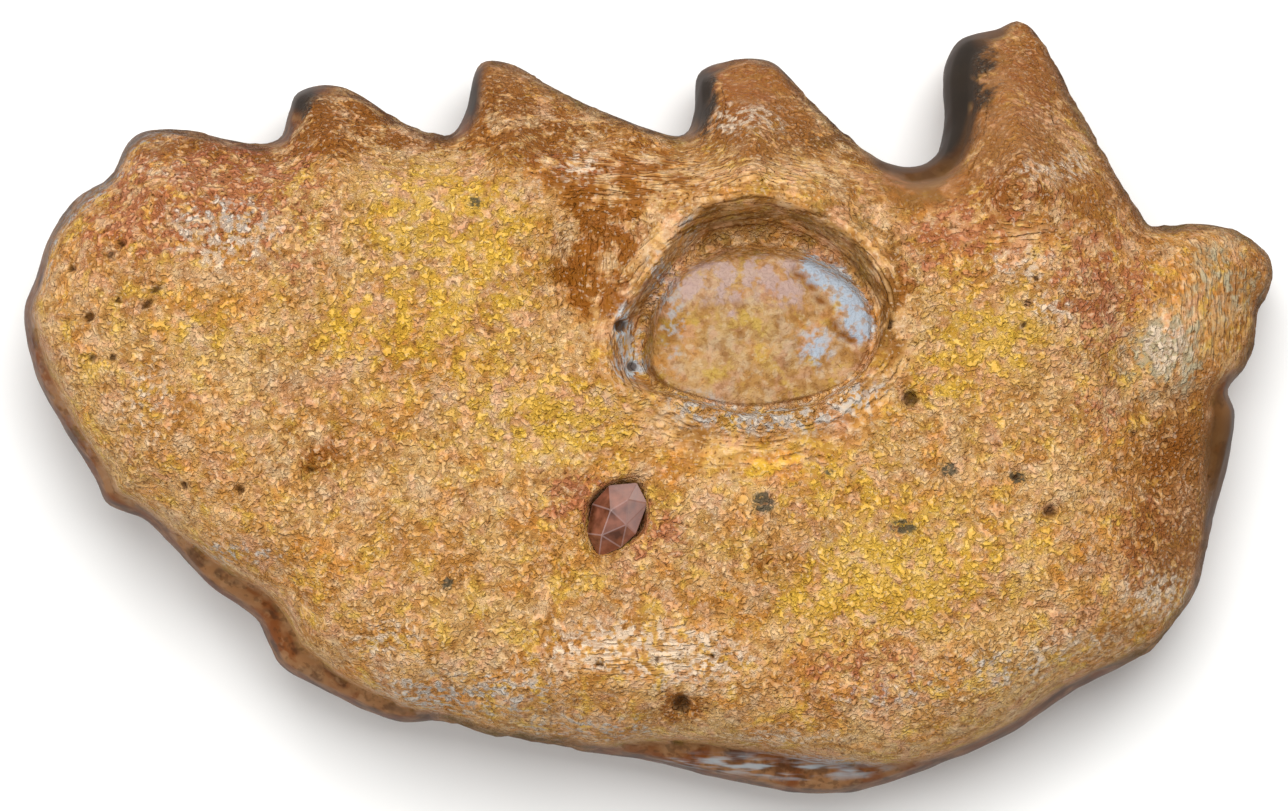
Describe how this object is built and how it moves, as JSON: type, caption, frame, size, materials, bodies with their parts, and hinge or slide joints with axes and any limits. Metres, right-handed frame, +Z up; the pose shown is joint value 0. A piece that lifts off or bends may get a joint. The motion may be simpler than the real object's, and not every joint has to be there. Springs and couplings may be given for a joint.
{
  "type": "fossil tooth",
  "caption": "Fossil lungfish tooth plate with a row of pointed cusps, lying crown down with its worn jaw bone and the oval scar of a broken process facing up.",
  "frame": {"origin": "centre of the bounding box in plan, on the surface that the worn ridges of the crown rest on", "axes": "+X along the plate's length toward its pointed lobe, +Y toward the row of cusps, +Z up, out of the bone side"},
  "size_m": [0.0464, 0.0288, 0.0129],
  "materials": {
    "fossil_bone": "rough ochre fossil bone over a smooth blue-grey and brown enamelled crown",
    "dark_crystal": "glassy dark reddish-brown crystal"
  },
  "bodies": {
    "root": {"tooth_plate": "fossil_bone", "mineral_grain": "dark_crystal"}
  },
  "joints": []
}
